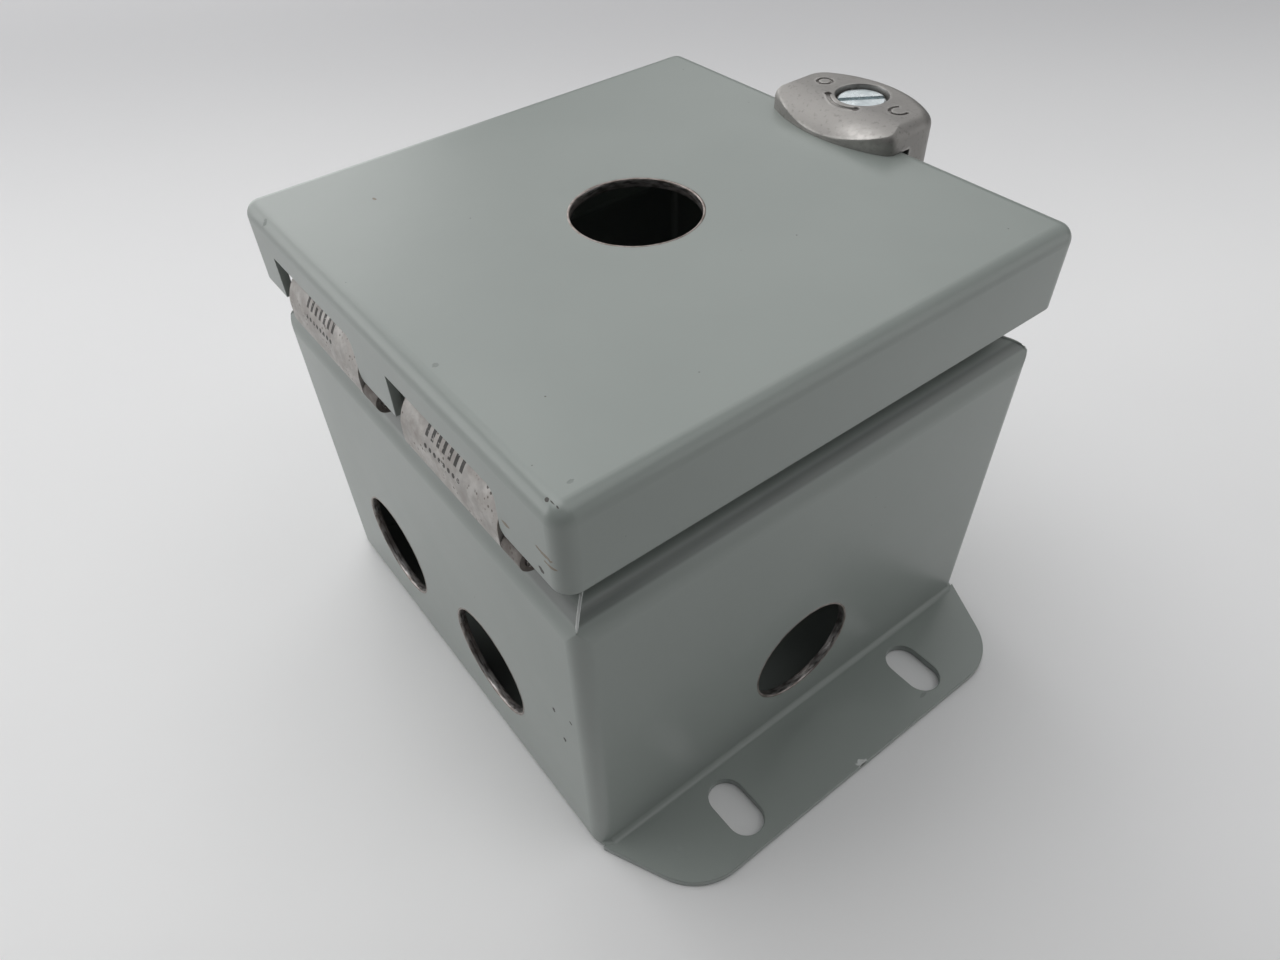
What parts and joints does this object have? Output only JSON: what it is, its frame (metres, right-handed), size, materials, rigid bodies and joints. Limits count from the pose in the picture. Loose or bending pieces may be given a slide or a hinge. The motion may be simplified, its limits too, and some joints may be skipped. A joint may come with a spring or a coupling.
{
  "type": "electrical junction box",
  "caption": "Wall-mounted painted steel junction box with a hinged cover, round conduit entries, slotted mounting flanges and a screwdriver-operated latch.",
  "frame": {"origin": "centre of the four mounting slots, on the mounting plane at the back of the box", "axes": "+Z leaves the wall, towards the cover; the two mounting flanges point along X; the hinges are on the -Y side and the latch is on the +Y side"},
  "size_m": [0.1382, 0.1156, 0.0977],
  "materials": {
    "grey_paint": "semi-gloss grey-green baked enamel on steel sheet",
    "plated_steel": "dull, mottled zinc plate on steel",
    "bare_steel": "plain drawn steel rod",
    "cast_zinc": "as-cast zinc alloy with rubbed edges",
    "bright_zinc": "bright blue-white zinc plate",
    "brass_nut": "plain machined brass",
    "gasket_rubber": "closed-cell black rubber strip"
  },
  "bodies": {
    "enclosure": {"body_shell": "grey_paint", "collar": "grey_paint", "back_plate": "grey_paint", "flange_welds": "grey_paint", "hinge_plate_left": "plated_steel", "hinge_plate_right": "plated_steel", "hinge_pin_left": "bare_steel", "hinge_pin_right": "bare_steel", "hinge_rivets": "plated_steel", "latch_keeper": "grey_paint", "keeper_rivets": "plated_steel", "earth_stud": "bright_zinc", "earth_flat_washer": "bright_zinc", "earth_lock_washer": "bright_zinc", "earth_nut": "brass_nut"},
    "cover": {"cover_shell": "grey_paint", "cover_gasket": "gasket_rubber", "cover_knuckle_left": "plated_steel", "cover_knuckle_right": "plated_steel", "latch_housing": "cast_zinc", "housing_screws": "bright_zinc"},
    "latch_spindle": {"latch_screw": "bright_zinc", "latch_pawl": "plated_steel", "latch_spacer": "plated_steel", "latch_lock_washer": "bright_zinc", "latch_nut": "bright_zinc"}
  },
  "joints": [
    {"name": "lid_swing", "type": "hinge", "parent": "enclosure", "child": "cover", "pos_m": [0, -0.0498, 0.0752], "axis": [1, 0, 0], "range_deg": [0, 135]},
    {"name": "latch_turn", "type": "hinge", "parent": "cover", "child": "latch_spindle", "pos_m": [0, 0.055, 0.085], "axis": [0, 0, 1], "range_deg": [0, 90]}
  ]
}
